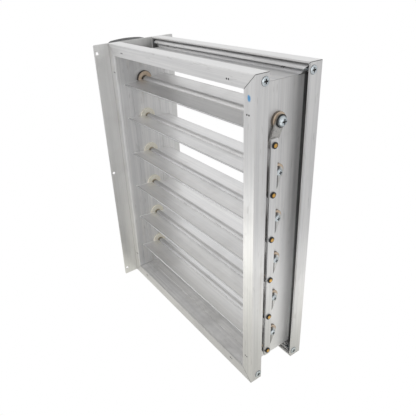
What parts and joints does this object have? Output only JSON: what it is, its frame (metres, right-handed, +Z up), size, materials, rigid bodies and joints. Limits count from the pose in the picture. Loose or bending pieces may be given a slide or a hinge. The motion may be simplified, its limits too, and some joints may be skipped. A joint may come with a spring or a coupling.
{
  "type": "rectangular zone damper",
  "caption": "Rectangular duct damper: mitred aluminium channel frame with a mounting plate, linked horizontal blades on pivots and a side drive that opens and closes them.",
  "frame": {"origin": "middle of the underside of the whole unit's box", "axes": "+X along the blades from the drive side to the linkage side, +Y from the front face to the rear, +Z up"},
  "size_m": [0.3558, 0.133, 0.4],
  "materials": {
    "frame": "mill finish, satin, fine extrusion lines",
    "keys": "mill finish",
    "plate": "mill finish sheet",
    "blades": "mill finish, satin",
    "axles": "bright plated steel",
    "cranks": "bright plated steel",
    "link_bar": "mill finish bar",
    "pins": "turned brass",
    "screws": "zinc plated",
    "bushings": "cream moulded nylon",
    "drive_bushing": "sintered bronze",
    "black_parts": "black moulded",
    "drive_case": "dark grained moulding",
    "motor": "plain can"
  },
  "bodies": {
    "frame": {"bottom_rail": "frame", "top_rail": "frame", "left_jamb": "frame", "right_jamb": "frame", "corner_keys": "keys", "mounting_plate": "plate", "corner_screws": "screws", "left_bushings": "bushings", "right_bushings": "bushings", "drive_bushing": "drive_bushing", "drive_cover": "drive_case", "drive_base": "drive_case", "drive_gearbox": "drive_case", "drive_motor": "motor", "drive_screws": "screws"},
    "blade_1_set": {"blade_1": "blades", "axles_1": "axles", "crank_1": "cranks", "crank_pin_1": "pins", "crank_screw_1": "screws", "drive_crank_washer": "black_parts", "drive_coupler": "axles", "coupler_set_screw": "screws"},
    "blade_2_set": {"blade_2": "blades", "axles_2": "axles", "crank_2": "cranks", "crank_pin_2": "pins", "crank_screw_2": "screws"},
    "blade_3_set": {"blade_3": "blades", "axles_3": "axles", "crank_3": "cranks", "crank_pin_3": "pins", "crank_screw_3": "screws"},
    "blade_4_set": {"blade_4": "blades", "axles_4": "axles", "crank_4": "cranks", "crank_pin_4": "pins", "crank_screw_4": "screws"},
    "blade_5_set": {"blade_5": "blades", "axles_5": "axles", "crank_5": "cranks", "crank_pin_5": "pins", "crank_screw_5": "screws"},
    "blade_6_set": {"blade_6": "blades", "axles_6": "axles", "crank_6": "cranks", "crank_pin_6": "pins", "crank_screw_6": "screws"},
    "link_bar_set": {"link_bar": "link_bar", "link_bushings": "black_parts"}
  },
  "joints": [
    {"name": "blade_1_pivot", "type": "hinge", "parent": "frame", "child": "blade_1_set", "pos_m": [0.0216, 0.0005, 0.3444], "axis": [-1, 0, 0], "range_deg": [0, 78]},
    {"name": "blade_2_pivot", "type": "hinge", "parent": "frame", "child": "blade_2_set", "pos_m": [0.0216, 0.0005, 0.28664], "axis": [-1, 0, 0], "range_deg": [0, 78]},
    {"name": "blade_3_pivot", "type": "hinge", "parent": "frame", "child": "blade_3_set", "pos_m": [0.0216, 0.0005, 0.22888], "axis": [-1, 0, 0], "range_deg": [0, 78]},
    {"name": "blade_4_pivot", "type": "hinge", "parent": "frame", "child": "blade_4_set", "pos_m": [0.0216, 0.0005, 0.17112], "axis": [-1, 0, 0], "range_deg": [0, 78]},
    {"name": "blade_5_pivot", "type": "hinge", "parent": "frame", "child": "blade_5_set", "pos_m": [0.0216, 0.0005, 0.11336], "axis": [-1, 0, 0], "range_deg": [0, 78]},
    {"name": "blade_6_pivot", "type": "hinge", "parent": "frame", "child": "blade_6_set", "pos_m": [0.0216, 0.0005, 0.0556], "axis": [-1, 0, 0], "range_deg": [0, 78]},
    {"name": "link_bar_pivot", "type": "hinge", "parent": "blade_1_set", "child": "link_bar_set", "pos_m": [0.1691, -0.00991, 0.32101], "axis": [-1, 0, 0], "range_deg": [-78, 0]}
  ],
  "couplings": [
    {"joint": "blade_2_pivot", "follows": "blade_1_pivot", "ratio": 1},
    {"joint": "blade_3_pivot", "follows": "blade_1_pivot", "ratio": 1},
    {"joint": "blade_4_pivot", "follows": "blade_1_pivot", "ratio": 1},
    {"joint": "blade_5_pivot", "follows": "blade_1_pivot", "ratio": 1},
    {"joint": "blade_6_pivot", "follows": "blade_1_pivot", "ratio": 1},
    {"joint": "link_bar_pivot", "follows": "blade_1_pivot", "ratio": -1}
  ]
}
